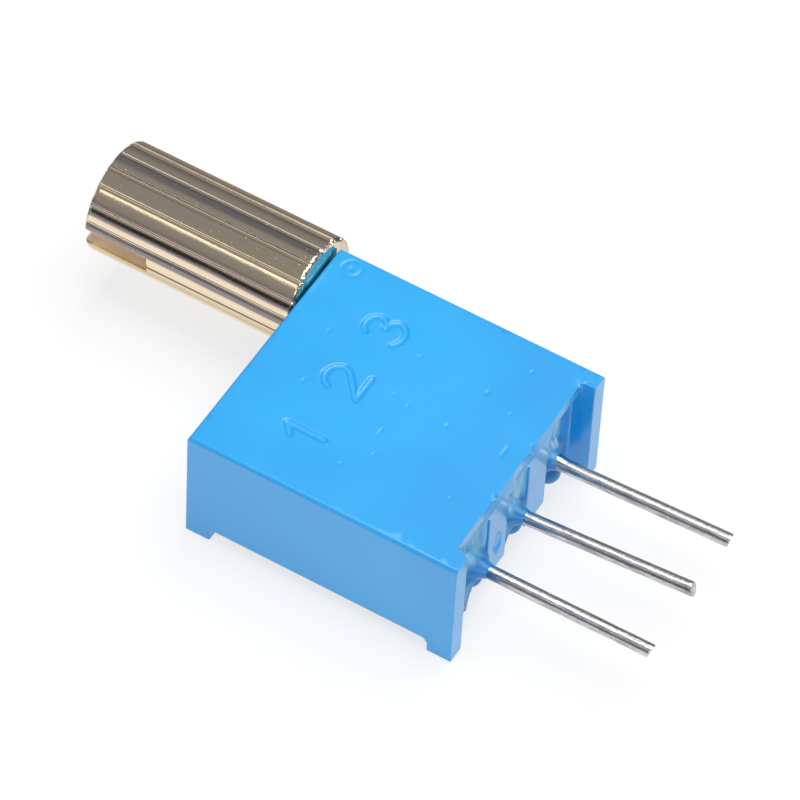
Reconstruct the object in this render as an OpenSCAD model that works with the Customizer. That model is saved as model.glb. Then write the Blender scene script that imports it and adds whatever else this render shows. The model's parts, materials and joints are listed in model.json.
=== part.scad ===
// Multi-turn trimming potentiometer in a square moulded housing, with a knurled
// adjusting knob and three round terminals in line.
// A worm on the knob's shaft turns a toothed wheel, whose spring wiper runs on a
// resistive track printed on a ceramic plate. The back is sealed with resin.
//
// The part lies on its back. +Z points out of the front face, +Y towards the knob,
// +X towards the side that holds the worm. The origin is on the middle terminal's
// axis, in the plane where the standoffs meet a circuit board.

/* [Housing] */
// Width of the housing, across the row of terminals
body_w = 9.53; // [7.9:0.01:11.5]
// Height of the housing, from the standoffs to the knob side
body_h = 10.12; // [8.4:0.01:12.2]
// Thickness of the housing, from the front face to the back feet
body_t = 4.83; // [4:0.01:5.8]
// Thickness of the front wall
front_wall = 0.44; // [0.36:0.01:0.55]
// Thickness of the side walls beside the works
side_wall = 0.4; // [0.33:0.01:0.48]
// Thickness of the wall that the shaft passes through
knob_wall = 0.78; // [0.64:0.01:0.95]
// Radius of the outer edges round the front face
edge_r = 0.14; // [0.05:0.01:0.2]
// Width of the two standoffs beside the terminals
standoff_w = 0.675; // [0.56:0.005:0.8]
// Length of the four back feet along the sides
foot_l = 0.92; // [0.75:0.01:1.1]
// Height of the four back feet
foot_h = 0.56; // [0.45:0.01:0.68]
// Radius in the corner between a back foot and the side wall
foot_fillet = 0.25; // [0.1:0.01:0.3]

/* [Terminal end] */
// How far the front wall is set back from the standoffs
lip_back = 0.5; // [0.42:0.01:0.6]
// How far the ribs between the terminals are set back from the standoffs
rib_back = 0.42; // [0.35:0.01:0.5]
// How far the end wall is set back from the standoffs
end_back = 0.82; // [0.7:0.01:0.98]
// Where the end wall and the ribs meet the pocket for the ceramic plate
end_in = 1.3; // [1.15:0.01:1.5]
// Width of each slot that a terminal passes through
slot_w = 1.3; // [1.1:0.01:1.45]
// How far the ribs stop short of the side walls' back edge
rib_short = 0.36; // [0.2:0.01:0.5]
// Radius where a rib runs into the front wall
rib_flare = 0.25; // [0.1:0.01:0.3]
// Width of the slope between one standoff and the front wall's edge
slope_w = 0.22; // [0.1:0.01:0.4]

/* [Terminals] */
// Distance between neighbouring terminals
pin_pitch = 2.54; // [2.3:0.01:2.7]
// Diameter of the terminal wire
pin_d = 0.5; // [0.42:0.01:0.6]
// Length of the terminals below the seating plane
pin_l = 6.1; // [3:0.1:7.5]
// Width of the clip head that grips the ceramic plate
clip_head_w = 0.8; // [0.7:0.01:0.95]
// How far the tip of terminal 1 leans towards +X
lean_x_1 = 0.04; // [-0.3:0.01:0.3]
// How far the tip of terminal 1 leans towards +Z
lean_z_1 = 0.02; // [-0.3:0.01:0.3]
// How far the tip of terminal 2 leans towards +X
lean_x_2 = 0.27; // [-0.3:0.01:0.3]
// How far the tip of terminal 2 leans towards +Z
lean_z_2 = 0.19; // [-0.3:0.01:0.3]
// How far the tip of terminal 3 leans towards +X
lean_x_3 = 0.15; // [-0.3:0.01:0.3]
// How far the tip of terminal 3 leans towards +Z
lean_z_3 = 0.11; // [-0.3:0.01:0.3]
// Thickness of the clip head's prongs
prong_t = 0.16; // [0.13:0.01:0.19]
// Reach of the prongs over the ceramic plate
prong_l = 1; // [0.8:0.01:1.2]

/* [Knob and shaft] */
// Diameter of the knob
knob_d = 4; // [3.3:0.01:4.7]
// Length of the knob
knob_l = 8; // [5:0.01:9.5]
// Gap between the knob and the housing
knob_gap = 0.06; // [0.04:0.01:0.1]
// Number of grooves round the knob
flutes = 18; // [12:1:24]
// Width of each groove
flute_w = 0.2; // [0.12:0.01:0.45]
// Depth of each groove
flute_depth = 0.06; // [0.03:0.005:0.12]
// Width of the screwdriver slot
driver_w = 0.7; // [0.5:0.01:1]
// Depth of the screwdriver slot
driver_depth = 2.48; // [1.9:0.01:2.9]
// Turn of the screwdriver slot about the knob's axis
driver_turn = -4; // [-90:0.5:90]
// Chamfer on the knob's rims
knob_chamfer = 0.07; // [0.02:0.01:0.15]
// Diameter of the shaft in the housing's bore
journal_d = 1.5; // [1.4:0.01:1.56]
// Diameter of the shaft's far end
tip_d = 0.7; // [0.5:0.01:0.8]
// Radial clearance of the shaft in its bores
shaft_fit = 0.03; // [0.02:0.005:0.05]
// Thickness of the seal ring's cord
seal_d = 0.22; // [0.18:0.01:0.26]

/* [Worm and wheel] */
// Outer diameter of the worm
worm_d = 1.46; // [1.3:0.01:1.5]
// Length of the worm's thread
worm_l = 3.2; // [2.4:0.1:3.6]
// Number of teeth on the wheel, and turns of the knob for one turn of the wheel
teeth = 33; // [28:1:36]
// Width of the toothed rim
rim_w = 0.5; // [0.4:0.01:0.6]
// Clearance round the worm and the wheel
works_gap = 0.07; // [0.05:0.01:0.1]
// Play between the worm's thread and the wheel's teeth
backlash = 0.03; // [0.02:0.005:0.05]
// Diameter of the post that the wheel turns on
post_d = 1.1; // [0.9:0.01:1.3]
// Diameter of the wheel's hub
hub_d = 2.5; // [2.1:0.01:2.9]

/* [Ceramic plate and resin] */
// Thickness of the ceramic plate
plate_t = 0.635; // [0.5:0.005:0.75]
// Gap between the ceramic plate and the pocket's walls
plate_gap = 0.04; // [0.02:0.01:0.08]
// Thickness of the printed films
film_t = 0.02; // [0.01:0.005:0.03]
// Width of the resistive track
track_w = 0.55; // [0.45:0.01:0.65]
// Thickness of the wiper's spring sheet
wiper_t = 0.08; // [0.06:0.01:0.1]
// How far the resin stops below the side walls' back edge
resin_low = 0.32; // [0.2:0.01:0.5]

/* [Hidden] */
$fn = 48;
eps = 0.01;

// The stack from the ceramic plate to the front face, which places the worm
film_gap = 0.005;
plate_front = plate_t / 2;
worm_r = worm_d / 2;
plate_to_worm = 0.1275;
plate_to_shaft = 0.1;
axis_z = plate_front + max(plate_to_worm + worm_r, plate_to_shaft + journal_d / 2);
front_in = axis_z + worm_r + works_gap;
front_z = front_in + front_wall;
back_z = front_z - body_t;
rim_back_z = back_z + foot_h;
axis_x = body_w / 2 - side_wall - works_gap - worm_r;

// Places along the housing
half_w = body_w / 2;
standoff_in = half_w - standoff_w;
pocket_x = half_w - side_wall;
knob_in = body_h - knob_wall;
knob_y = body_h + knob_gap;
knob_end = knob_y + knob_l;
knob_r = knob_d / 2;
flute_phase = 0.75;
rib_back_z = rim_back_z + rib_short;
resin_z = rim_back_z + resin_low;
slot_r = slot_w / 2;
slope_start = 0.04;
slope_bend = 0.4;
pin_r = pin_d / 2;
pin_xs = [-pin_pitch, 0, pin_pitch];
pin_leans = [[lean_x_1, lean_z_1], [lean_x_2, lean_z_2], [lean_x_3, lean_z_3]];

// Gearing. The wheel is as large as the width or the height allows.
pressure = 20;
addendum_k = 0.72;
dedendum_k = 0.95;
works_h = knob_in - end_in;
wheel_edge_gap = 0.12;
pitch_r_by_width = (axis_x - worm_r) / (1 - 2 * addendum_k / teeth);
pitch_r_by_height = (works_h / 2 - wheel_edge_gap) / (1 + 2 * addendum_k / teeth);
wheel_pitch_r = min(pitch_r_by_width, pitch_r_by_height);
gear_module = 2 * wheel_pitch_r / teeth;
axial_pitch = PI * gear_module;
addendum = addendum_k * gear_module;
dedendum = dedendum_k * gear_module;
worm_pitch_r = worm_r - addendum;
worm_root_r = worm_pitch_r - dedendum;
wheel_r = wheel_pitch_r + addendum;
wheel_root_r = wheel_pitch_r - dedendum;
wheel_x = axis_x - worm_pitch_r - wheel_pitch_r;
wheel_y = (end_in + knob_in) / 2;
cavity_r = wheel_r + wheel_edge_gap;

// The shaft, from the knob inwards
journal_r = journal_d / 2;
bore_r = journal_r + shaft_fit;
channel_r = worm_r + works_gap;
tip_r = tip_d / 2;
tip_bore_r = tip_r + shaft_fit;
seal_r = seal_d / 2;
seal_play = 0.01;
groove_side_play = 0.03;
groove_w = seal_d + 2 * groove_side_play;
knob_in_to_groove = 0.24;
groove_y = knob_in + knob_in_to_groove;
groove_r = bore_r - seal_d - seal_play;
clip_t = 0.22;
clip_play = 0.03;
clip_to_knob_in = 0.62;
clip_rise = 0.6;
clip_y = knob_in - clip_to_knob_in;
clip_neck_r = 0.45;
clip_half_w = 0.73;
clip_slot_y = clip_y - clip_play;
clip_slot_l = clip_t + 2 * clip_play;
collar_l = 0.3;
collar_y = clip_y - clip_play - collar_l;
end_in_to_tip = 0.65;
tip_l = 0.85;
tip_y = end_in + end_in_to_tip;
tip_shoulder_y = tip_y + tip_l;
worm_y = wheel_y - worm_l / 2;

// The wheel and the wiper
post_r = post_d / 2;
hub_r = hub_d / 2;
hub_back = 0.34;
hub_gap = 0.05;
post_short = 0.04;
hub_back_z = axis_z - hub_back;
post_end_z = hub_back_z + post_short;
hub_front_z = front_in - hub_gap;
rim_depth = 0.35;
web_t = 0.26;
track_share = 0.85;
collector_share = 0.53;
track_r = track_share * wheel_pitch_r;
collector_r = collector_share * wheel_pitch_r;
collector_w = 0.42;
collector_strip_w = 0.6;
track_gap_angle = 80;
wiper_tip_r = 0.05;
wiper_ring_gap = 0.1;
wiper_ring_in = 0.05;
wiper_ring_r = hub_r - wiper_ring_in;
arm_start_r = 0.9;
arm_bend_in = 0.1;
arm_bend_r = hub_r - arm_bend_in;
track_arm_w = 0.9;
track_fingers = 3;
collector_arm_w = 0.6;
collector_fingers = 2;
finger_slit = 0.08;
film_z = plate_front + film_t;
track_z = film_z + film_t;

// The terminals' clip heads and what is soldered to them
prong_gap = film_t + film_gap;
prong_in = plate_front + prong_gap;
prong_out = prong_in + prong_t;
plate_y = end_in + plate_gap;
head_reach = 0.66;
head_y = end_in - head_reach;
prong_end_y = plate_y + prong_l;
solder_h = 0.34;
solder_w = 1.2;
solder_top_w = 0.7;
solder_y = plate_y + solder_w / 2 + 2 * eps;
recess_gap = 0.06;
recess_past = 0.3;
recess_z = plate_front + solder_h + recess_gap;
recess_y = prong_end_y + recess_past;
pad_past = 0.2;
pad_l = prong_l + pad_past;
root_flare = 0.07;
root_r = pin_r + root_flare;
root_sink = 0.2;
tip_chamfer = 0.1;

// The resin round each wire
resin_film = 0.025;
film_r = pin_r + resin_film;
film_relief = 3 * film_t;
cone_to_slot = 0.06;
cone_base_r = slot_r - cone_to_slot;
cone_y = 0.12;
slot_fill_y = 0.62;
climb_r = end_back - rib_back - 2 * eps;
lobe_r = 0.48;
lobe_y = 0.36;
lobe_z = -0.68;

// A box given by its lowest and highest corners
module span(low, high) {
    translate(low) cube(high - low);
}

// A flat outline in X and Z, drawn along Y from y_low to y_high
module along_y(y_low, y_high) {
    translate([0, y_high, 0]) rotate([90, 0, 0]) linear_extrude(height = y_high - y_low) children();
}

// A flat outline in Y and Z, drawn along X from x_low to x_high
module along_x(x_low, x_high) {
    translate([x_low, 0, 0]) rotate([90, 0, 90]) linear_extrude(height = x_high - x_low) children();
}

// A cylinder on the shaft's axis
module on_axis(r, y_low, y_high) {
    translate([axis_x, y_high, axis_z]) rotate([90, 0, 0]) cylinder(r = r, h = y_high - y_low);
}

// The corner between two straight sides, hollowed to a radius
module inner_fillet(r) {
    difference() {
        square(r + eps);
        translate([r + eps, r + eps]) circle(r);
    }
}

// ---- Housing ----

// The side view, with its four feet along the back
module side_outline() {
    translate([0, rim_back_z]) square([body_h, front_z - rim_back_z]);
    translate([0, back_z]) square([foot_l, foot_h + eps]);
    translate([body_h - foot_l, back_z]) square([foot_l, foot_h + eps]);
    translate([foot_l - eps, rim_back_z + eps]) mirror([0, 1]) inner_fillet(foot_fillet);
    translate([body_h - foot_l + eps, rim_back_z + eps]) rotate(180) inner_fillet(foot_fillet);
}

// The view along Y: the two long edges of the front face are rounded
module end_outline() {
    translate([-half_w, back_z]) square([body_w, body_t - edge_r]);
    translate([-half_w + edge_r, back_z]) square([body_w - 2 * edge_r, body_t]);
    for (side = [-1, 1]) {
        translate([side * (half_w - edge_r), front_z - edge_r]) circle(edge_r);
    }
}

// The side view's limit: the front face's edge at the knob side is rounded
module knob_edge_outline() {
    translate([-eps, back_z - eps]) square([body_h + eps, body_t + eps - edge_r]);
    translate([-eps, back_z]) square([body_h - edge_r + eps, body_t]);
    translate([body_h - edge_r, front_z - edge_r]) circle(edge_r);
}

// One rib between two terminals, flared where it runs into the front wall
module rib(x) {
    rib_w = pin_pitch - slot_w;
    along_y(rib_back, end_in) {
        translate([x - rib_w / 2, rib_back_z]) square([rib_w, front_in - rib_back_z + eps]);
        for (side = [-1, 1]) {
            translate([x + side * (rib_w / 2 - eps), front_in + eps])
                mirror([side < 0 ? 1 : 0, 0])
                mirror([0, 1])
                inner_fillet(rib_flare);
        }
    }
}

// The space in front of the ceramic plate: the wheel, the worm and the solder
module works_space() {
    translate([wheel_x, wheel_y, plate_front - eps]) cylinder(r = cavity_r, h = front_in - plate_front + eps);
    on_axis(channel_r, tip_shoulder_y, clip_slot_y + clip_slot_l);
    span([axis_x - channel_r, tip_shoulder_y, plate_front - eps], [axis_x + channel_r, clip_slot_y, axis_z]);
    span(
        [axis_x - clip_half_w - clip_play, clip_slot_y, plate_front - eps],
        [axis_x + clip_half_w + clip_play, clip_slot_y + clip_slot_l, front_in]
    );
    on_axis(tip_bore_r, tip_y - clip_play, tip_shoulder_y + eps);
    on_axis(bore_r, clip_slot_y, body_h + eps);
    for (x = pin_xs) {
        span([x - slot_r, end_back, plate_front - eps], [x + slot_r, recess_y, recess_z]);
    }
    // a shallow relief over the printed strips
    span(
        [-pin_pitch - slot_r, end_in + eps, plate_front - eps],
        [pin_pitch + slot_r, wheel_y, plate_front + film_relief]
    );
}

module housing() {
    color("dodgerblue") {
        difference() {
            intersection() {
                along_x(-half_w, half_w) side_outline();
                along_y(0, body_h) end_outline();
                along_x(-half_w, half_w) knob_edge_outline();
            }
            // the front wall's edge and the end wall, between the standoffs
            span([-standoff_in, -eps, back_z - eps], [standoff_in, lip_back, front_z + eps]);
            span([-standoff_in, 0, back_z - eps], [standoff_in, end_back, front_in]);
            // the back is level between the four feet
            span([-standoff_in, 0, back_z - eps], [standoff_in, body_h + eps, rim_back_z]);
            // the pocket for the ceramic plate and the resin
            span([-pocket_x, end_in, rim_back_z - eps], [pocket_x, knob_in, plate_front]);
            // the slots for the terminals, open to the back
            for (x = pin_xs) {
                span([x - slot_r, end_back - eps, rim_back_z - eps], [x + slot_r, end_in + eps, plate_front]);
            }
            // the end wall is as low as the ribs
            span([-standoff_in, end_back - eps, rim_back_z - eps], [standoff_in, end_in + eps, rib_back_z]);
            works_space();
        }
        for (side = [-1, 1]) {
            rib(side * pin_pitch / 2);
        }
        // the front wall's edge runs into one standoff with a slope
        translate([-standoff_in, 0, front_in]) linear_extrude(height = front_wall) polygon([
            [-eps, -eps + slope_start],
            [slope_w / 2, slope_bend * lip_back],
            [slope_w, lip_back + eps],
            [-eps, lip_back + eps]
        ]);
        // the post that the wheel turns on
        translate([wheel_x, wheel_y, post_end_z]) cylinder(r = post_r, h = front_in - post_end_z + eps);
    }
}

// ---- Knob, shaft and worm ----

// The knob's section: a circle with a shallow round groove between neighbouring lands
module knob_outline() {
    flat_deep = knob_r - sqrt(knob_r * knob_r - flute_w * flute_w / 4);
    sagitta = flute_depth - flat_deep;
    hollow_r = (flute_w * flute_w / 4 + sagitta * sagitta) / (2 * sagitta);
    difference() {
        circle(knob_r);
        for (i = [0:flutes - 1]) {
            rotate((i + flute_phase) * 360 / flutes) translate([knob_r - flute_depth + hollow_r, 0])
                circle(hollow_r);
        }
    }
}

// The knob, with its rims chamfered and a slot across its end
module knob() {
    difference() {
        intersection() {
            linear_extrude(height = knob_l) knob_outline();
            rotate_extrude() polygon([
                [0, 0],
                [knob_r - knob_chamfer, 0],
                [knob_r + eps, knob_chamfer + eps],
                [knob_r + eps, knob_l - knob_chamfer - eps],
                [knob_r - knob_chamfer, knob_l],
                [0, knob_l]
            ]);
        }
        rotate(driver_turn) translate([-knob_d, -driver_w / 2, knob_l - driver_depth])
            cube([2 * knob_d, driver_w, driver_depth + eps]);
    }
}

// The turned shaft, as a half section: radius, then distance from the knob
module shaft_section() {
    seal_from = knob_y - groove_y - groove_w / 2;
    seal_to = knob_y - groove_y + groove_w / 2;
    clip_from = knob_y - clip_y - clip_t - clip_play;
    clip_to = knob_y - clip_y + clip_play;
    collar_to = knob_y - collar_y;
    root_to = knob_y - tip_shoulder_y - clip_play;
    polygon([
        [0, -eps],
        [journal_r, -eps],
        [journal_r, seal_from],
        [groove_r, seal_from],
        [groove_r, seal_to],
        [journal_r, seal_to],
        [journal_r, clip_from],
        [clip_neck_r, clip_from],
        [clip_neck_r, clip_to],
        [worm_r, clip_to],
        [worm_r, collar_to],
        [worm_root_r, collar_to + worm_r - worm_root_r],
        [worm_root_r, root_to],
        [tip_r, root_to],
        [tip_r, knob_y - tip_y - clip_neck_r / 4],
        [tip_r - clip_neck_r / 4, knob_y - tip_y],
        [0, knob_y - tip_y]
    ]);
}

// The worm's thread, a left-hand helix that fades out at both ends
thread_steps = 20;
thread_sink = 0.06;
thread_turns = worm_l / axial_pitch;
thread_count = floor(thread_turns * thread_steps);
thread_fade_turns = 0.6;
thread_fade = thread_fade_turns * thread_steps;
thread_least = 0.02;
thread_half = axial_pitch / 4 - backlash / 2;
thread_foot_r = worm_root_r - thread_sink;

// Half the thread's width at a given radius
function thread_w(r) = thread_half - (r - worm_pitch_r) * tan(pressure);

// The thread's radius at one step, lower in the fading ends
function thread_top(i) = worm_root_r
    + (worm_r - worm_root_r) * max(thread_least, min(1, i / thread_fade, (thread_count - i) / thread_fade));

// One step's angle. The crest is level with the wheel's centre where it faces the wheel.
function thread_angle(i) = 180 + (i - thread_count / 2) * 360 / thread_steps;

// The four corners of the thread's section at one step
function thread_ring(i) =
    let (
        a = thread_angle(i),
        y = wheel_y + (i - thread_count / 2) * axial_pitch / thread_steps,
        foot = thread_w(thread_foot_r),
        top_r = thread_top(i),
        top = thread_w(worm_r),
        corners = [[thread_foot_r, -foot], [top_r, -top], [top_r, top], [thread_foot_r, foot]]
    )
    [for (c = corners) [axis_x + c[0] * cos(a), y + c[1], axis_z + c[0] * sin(a)]];

module worm_thread() {
    sides = 4;
    points = [for (i = [0:thread_count]) each thread_ring(i)];
    walls = [
        for (i = [0:thread_count - 1], k = [0:sides - 1])
            let (j = (k + 1) % sides)
            [i * sides + k, (i + 1) * sides + k, (i + 1) * sides + j, i * sides + j]
    ];
    first = [for (k = [0:sides - 1]) k];
    last = [for (k = [sides - 1:-1:0]) thread_count * sides + k];
    polyhedron(points = points, faces = concat(walls, [first, last]), convexity = 8);
}

module adjuster() {
    color("darkgoldenrod") {
        translate([axis_x, knob_y, axis_z]) rotate([-90, 0, 0]) knob();
        translate([axis_x, knob_y, axis_z]) rotate([90, 0, 0]) rotate_extrude() shaft_section();
        worm_thread();
    }
}

module shaft_seal() {
    color("black") translate([axis_x, groove_y, axis_z]) rotate([90, 0, 0]) rotate_extrude()
        translate([bore_r - seal_play - seal_r, 0]) circle(seal_r);
}

// A U-shaped plate pushed over the shaft's neck from the open back
module retaining_clip() {
    neck = clip_neck_r + clip_play;
    color("silver") along_y(clip_y, clip_y + clip_t) difference() {
        translate([axis_x - clip_half_w, plate_front])
            square([2 * clip_half_w, axis_z - plate_front + clip_rise]);
        translate([axis_x, axis_z]) circle(neck);
        translate([axis_x - neck, axis_z]) square([2 * neck, clip_rise + eps]);
    }
}

// ---- Wheel and wiper ----

// The involute's angle in degrees at a given radius
base_r = wheel_pitch_r * cos(pressure);
function involute(r) =
    let (a = acos(min(1, base_r / r)))
    tan(a) * 180 / PI - a;

// Half a tooth's angle at a given radius
tooth_half = (axial_pitch / 2 - backlash) / 2 / wheel_pitch_r * 180 / PI;
function tooth_angle(r) = tooth_half + involute(wheel_pitch_r) - involute(r);

flank_steps = 3;
flank_rs = [for (i = [0:flank_steps]) wheel_root_r + (wheel_r - wheel_root_r) * i / flank_steps];

// The wheel's outline. A gap between two teeth faces the worm.
module wheel_outline() {
    polygon([
        for (t = [0:teeth - 1])
            let (middle = (t + 0.5) * 360 / teeth)
            each concat(
                [for (r = flank_rs) r * [cos(middle - tooth_angle(r)), sin(middle - tooth_angle(r))]],
                [for (i = [flank_steps:-1:0])
                    let (r = flank_rs[i])
                    r * [cos(middle + tooth_angle(r)), sin(middle + tooth_angle(r))]]
            )
    ]);
}

module worm_wheel() {
    rim_in = wheel_root_r - rim_depth;
    color("ivory") translate([wheel_x, wheel_y, 0]) difference() {
        union() {
            translate([0, 0, axis_z]) linear_extrude(height = rim_w, center = true) wheel_outline();
            translate([0, 0, hub_back_z]) cylinder(r = hub_r, h = hub_front_z - hub_back_z);
        }
        // the web between the rim and the hub is thinner than both
        translate([0, 0, axis_z + web_t / 2]) difference() {
            cylinder(r = rim_in, h = rim_w);
            translate([0, 0, -eps]) cylinder(r = hub_r, h = 2 * rim_w);
        }
        translate([0, 0, axis_z - web_t / 2 - rim_w]) difference() {
            cylinder(r = rim_in, h = rim_w);
            translate([0, 0, -eps]) cylinder(r = hub_r, h = 2 * rim_w);
        }
        translate([0, 0, hub_back_z - eps]) cylinder(r = post_r + shaft_fit, h = body_t);
    }
}

// A bent spring arm along +X that reaches down to a film, slit into fingers
module wiper_arm(reach, foot_z, width, fingers) {
    top = hub_back_z;
    drop = top - wiper_t;
    foot = foot_z + film_gap;
    difference() {
        union() {
            rotate([90, 0, 0]) linear_extrude(height = width, center = true) polygon([
                [arm_start_r, top],
                [arm_bend_r, top],
                [reach, foot + 2 * wiper_tip_r + wiper_t / 2],
                [reach, foot + 2 * wiper_tip_r - wiper_t / 2],
                [arm_bend_r, drop],
                [arm_start_r, drop]
            ]);
            translate([reach, 0, foot + wiper_tip_r]) rotate([90, 0, 0])
                cylinder(r = wiper_tip_r, h = width, center = true);
        }
        for (i = [1:fingers - 1]) {
            translate([hub_r, -width / 2 + i * width / fingers - finger_slit / 2, foot_z - eps])
                cube([reach, finger_slit, top]);
        }
    }
}

module wiper() {
    color("gold") translate([wheel_x, wheel_y, 0]) {
        translate([0, 0, hub_back_z - wiper_t]) difference() {
            cylinder(r = wiper_ring_r, h = wiper_t);
            translate([0, 0, -eps]) cylinder(r = post_r + wiper_ring_gap, h = hub_r);
        }
        rotate(90) wiper_arm(track_r, track_z, track_arm_w, track_fingers);
        rotate(-90) wiper_arm(collector_r, film_z, collector_arm_w, collector_fingers);
    }
}

// ---- Ceramic plate and its films ----

module ceramic_plate() {
    color("white") span(
        [-pocket_x + plate_gap, plate_y, -plate_front],
        [pocket_x - plate_gap, knob_in - plate_gap, plate_front]
    );
}

// A flat ring sector of film, centred on the wheel
module film_arc(r, width, from, angle, low, high) {
    translate([wheel_x, wheel_y, low]) rotate(from) rotate_extrude(angle = angle)
        translate([r - width / 2, 0]) square([width, high - low]);
}

module resistive_track() {
    color("dimgray") film_arc(
        track_r, track_w, -90 + track_gap_angle / 2, 360 - track_gap_angle, film_z, track_z
    );
}

// A printed pad under a prong, with a strip to the end of the track
module end_conductor(side) {
    overlap = 12;
    edge = 90 - track_gap_angle / 2;
    half = track_w / 2;
    near = [wheel_x + side * (track_r - half) * cos(edge), wheel_y - (track_r - half) * sin(edge)];
    far = [wheel_x + side * (track_r + half) * cos(edge), wheel_y - (track_r + half) * sin(edge)];
    pad_x = side * pin_pitch;
    pad_near = [pad_x - side * clip_head_w / 2, plate_y + pad_l];
    pad_far = [pad_x + side * clip_head_w / 2, plate_y + pad_l];
    color("silver") {
        film_arc(track_r, track_w, side > 0 ? -edge : 180 + edge - overlap, overlap, plate_front, film_z);
        translate([0, 0, plate_front]) linear_extrude(height = film_t) {
            polygon([near, far, pad_near]);
            polygon([far, pad_far, pad_near]);
            translate([pad_x - clip_head_w / 2, plate_y]) square([clip_head_w, pad_l]);
        }
    }
}

module end_conductor_1() {
    end_conductor(-1);
}

module end_conductor_3() {
    end_conductor(1);
}

module collector_ring() {
    strip_half = collector_strip_w / 2;
    color("silver") {
        film_arc(collector_r, collector_w, 0, 360, plate_front, film_z);
        translate([0, 0, plate_front]) linear_extrude(height = film_t) {
            polygon([
                [wheel_x - strip_half, wheel_y - collector_r],
                [wheel_x + strip_half, wheel_y - collector_r],
                [strip_half, plate_y],
                [-strip_half, plate_y]
            ]);
            translate([-clip_head_w / 2, plate_y]) square([clip_head_w, pad_l]);
        }
    }
}

module back_pads() {
    color("silver") for (x = pin_xs) {
        span(
            [x - clip_head_w / 2, plate_y, -film_z],
            [x + clip_head_w / 2, plate_y + pad_l, -plate_front]
        );
    }
}

// ---- Terminals ----

// The clip head's side view: a fork that grips the plate's edge
module fork_outline() {
    flare = 0.08;
    nose = 0.1;
    difference() {
        polygon([
            [head_y, -pin_r],
            [head_y + nose, -prong_out],
            [prong_end_y, -prong_out],
            [prong_end_y + flare, -prong_out - flare],
            [prong_end_y + flare, prong_out + flare],
            [prong_end_y, prong_out],
            [head_y + nose, prong_out],
            [head_y, pin_r]
        ]);
        polygon([
            [plate_y - film_gap, -prong_in],
            [prong_end_y, -prong_in],
            [prong_end_y + 2 * flare, -prong_in - 2 * flare],
            [prong_end_y + 2 * flare, prong_in + 2 * flare],
            [prong_end_y, prong_in],
            [plate_y - film_gap, prong_in]
        ]);
    }
}

// One terminal. Its wire leans a little from where it leaves the resin.
module terminal(i) {
    x = pin_xs[i];
    turn_x = atan(pin_leans[i][0] / pin_l);
    turn_z = atan(pin_leans[i][1] / pin_l);
    wire_l = pin_l / cos(turn_x) / cos(turn_z) - tip_chamfer;
    color("silver") {
        translate([x, 0, 0]) rotate([90 - turn_z, 0, turn_x]) {
            translate([0, 0, -root_sink]) cylinder(r = pin_r, h = wire_l + root_sink);
            translate([0, 0, wire_l]) cylinder(r1 = pin_r, r2 = pin_r - tip_chamfer / 2, h = tip_chamfer);
        }
        translate([x, head_y + eps, 0]) rotate([90, 0, 0])
            cylinder(r1 = root_r, r2 = pin_r - eps, h = head_y + eps);
        along_x(x - clip_head_w / 2, x + clip_head_w / 2) fork_outline();
    }
}

module terminal_1() {
    terminal(0);
}

module terminal_2() {
    terminal(1);
}

module terminal_3() {
    terminal(2);
}

// A drop of solder over each prong, front and back
module solder_drops(x) {
    for (side = [0, 1]) {
        mirror([0, 0, side]) translate([x, solder_y, film_z])
            cylinder(r1 = solder_w / 2, r2 = solder_top_w / 2, h = solder_h);
    }
}

module solder_joint(x) {
    color("gainsboro") difference() {
        solder_drops(x);
        along_x(x - clip_head_w / 2 - film_gap, x + clip_head_w / 2 + film_gap) fork_outline();
    }
}

module solder_joint_1() {
    solder_joint(pin_xs[0]);
}

module solder_joint_2() {
    solder_joint(pin_xs[1]);
}

module solder_joint_3() {
    solder_joint(pin_xs[2]);
}

// ---- Resin ----

// The resin's climb in the corner between the end wall and a rib beside a slot
module rib_resin(x, side) {
    climb_h = front_in - rib_flare - rib_back_z;
    translate([x + side * slot_r, end_back, rib_back_z]) linear_extrude(height = climb_h)
        mirror([side > 0 ? 1 : 0, 0])
        mirror([0, 1])
        inner_fillet(climb_r);
}

// The resin in one slot, with the film that climbs the wire and the lobe below it
module slot_resin(x) {
    hollow = cone_base_r - film_r;
    span([x - slot_r, end_back, resin_z], [x + slot_r, end_in + eps, recess_z]);
    span([x - slot_r, slot_fill_y, lobe_z], [x + slot_r, end_in, plate_front]);
    translate([x, slot_fill_y, 0]) rotate([90, 0, 0]) rotate_extrude() difference() {
        translate([0, -eps]) square([cone_base_r, slot_fill_y - cone_y + eps]);
        translate([cone_base_r, slot_fill_y - cone_y]) circle(hollow);
    }
    translate([x, end_in, lobe_z]) rotate([90, 0, 0]) cylinder(r = lobe_r, h = end_in - lobe_y);
}

module potting() {
    color("royalblue") difference() {
        union() {
            span([-pocket_x, end_in, resin_z], [pocket_x, knob_in, -plate_front]);
            for (x = pin_xs) {
                slot_resin(x);
            }
            for (i = [0:1]) {
                rib_resin(pin_xs[i], 1);
                rib_resin(pin_xs[i + 1], -1);
            }
        }
        for (i = [0:2]) {
            terminal(i);
            solder_drops(pin_xs[i]);
        }
        back_pads();
    }
}

housing();
adjuster();
shaft_seal();
retaining_clip();
worm_wheel();
wiper();
ceramic_plate();
resistive_track();
end_conductor_1();
end_conductor_3();
collector_ring();
back_pads();
terminal_1();
terminal_2();
terminal_3();
solder_joint_1();
solder_joint_2();
solder_joint_3();
potting();
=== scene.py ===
import json
import math

import bmesh
import bpy
import numpy as np
from mathutils import Matrix, Vector

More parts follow.
